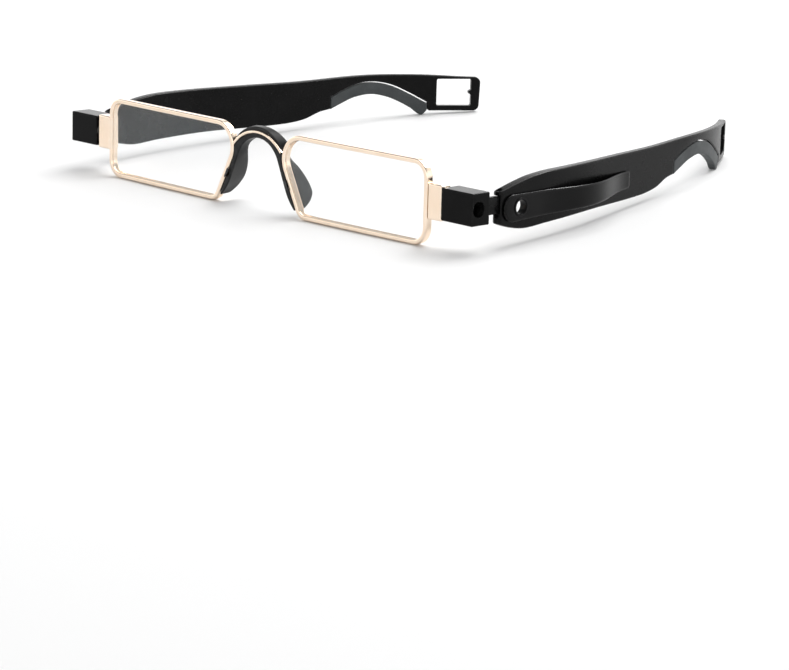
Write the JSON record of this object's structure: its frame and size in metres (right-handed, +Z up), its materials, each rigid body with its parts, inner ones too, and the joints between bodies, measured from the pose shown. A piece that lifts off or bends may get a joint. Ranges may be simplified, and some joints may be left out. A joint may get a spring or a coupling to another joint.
{
  "type": "folding reading glasses",
  "caption": "Slim rectangular reading glasses with a one-piece nose saddle, swivelling and folding temples with looped tips, and a pocket clip on one temple.",
  "frame": {"origin": "bottom centre of the object's box, as it stands on its rims and ear pads", "axes": "+X to the wearer's left, +Y from the lenses towards the wearer, +Z up; the rims lean back 3.7 degrees"},
  "size_m": [0.1412, 0.1174, 0.0198],
  "materials": {
    "gold_plate": "thin pale gold plating, polished",
    "screw_steel": "plain turned steel",
    "block_black": "black, semi-gloss, moulded",
    "temple_black": "black, satin, moulded",
    "saddle_soft": "soft black plastic",
    "pad_rubber": "grey rubber",
    "washer_nylon": "white nylon",
    "lens_clear": "clear, coated plastic lens"
  },
  "bodies": {
    "front": {"rim_left": "gold_plate", "lens_left": "lens_clear", "saddle_tab_left": "gold_plate", "end_plate_left": "gold_plate", "rim_screw_left": "gold_plate", "swivel_screw_left": "screw_steel", "spring_washer_left": "screw_steel", "friction_washer_left": "washer_nylon", "rim_right": "gold_plate", "lens_right": "lens_clear", "saddle_tab_right": "gold_plate", "end_plate_right": "gold_plate", "rim_screw_right": "gold_plate", "swivel_screw_right": "screw_steel", "spring_washer_right": "screw_steel", "friction_washer_right": "washer_nylon", "bridge_wire": "gold_plate", "nose_saddle": "saddle_soft"},
    "block_left": {"swivel_block_left": "block_black", "hinge_pin_left": "screw_steel"},
    "block_right": {"swivel_block_right": "block_black", "hinge_pin_right": "screw_steel"},
    "arm_left": {"temple_left": "temple_black", "ear_pad_left": "pad_rubber", "pocket_clip": "temple_black", "clip_eyelet": "temple_black"},
    "arm_right": {"temple_right": "temple_black", "ear_pad_right": "pad_rubber"}
  },
  "joints": [
    {"name": "swivel_left", "type": "hinge", "parent": "front", "child": "block_left", "pos_m": [0.05968, -0.05534, 0.01045], "axis": [1, 0, 0], "range_deg": [-180, 180]},
    {"name": "swivel_right", "type": "hinge", "parent": "front", "child": "block_right", "pos_m": [-0.06092, -0.05534, 0.01045], "axis": [1, 0, 0], "range_deg": [0, 360]},
    {"name": "fold_left", "type": "hinge", "parent": "block_left", "child": "arm_left", "pos_m": [0.06738, -0.04716, 0.00992], "axis": [0, 0.0646, 0.9979], "range_deg": [0, 75]},
    {"name": "fold_right", "type": "hinge", "parent": "block_right", "child": "arm_right", "pos_m": [-0.06862, -0.04716, 0.00992], "axis": [0, -0.0646, -0.9979], "range_deg": [0, 75]}
  ]
}
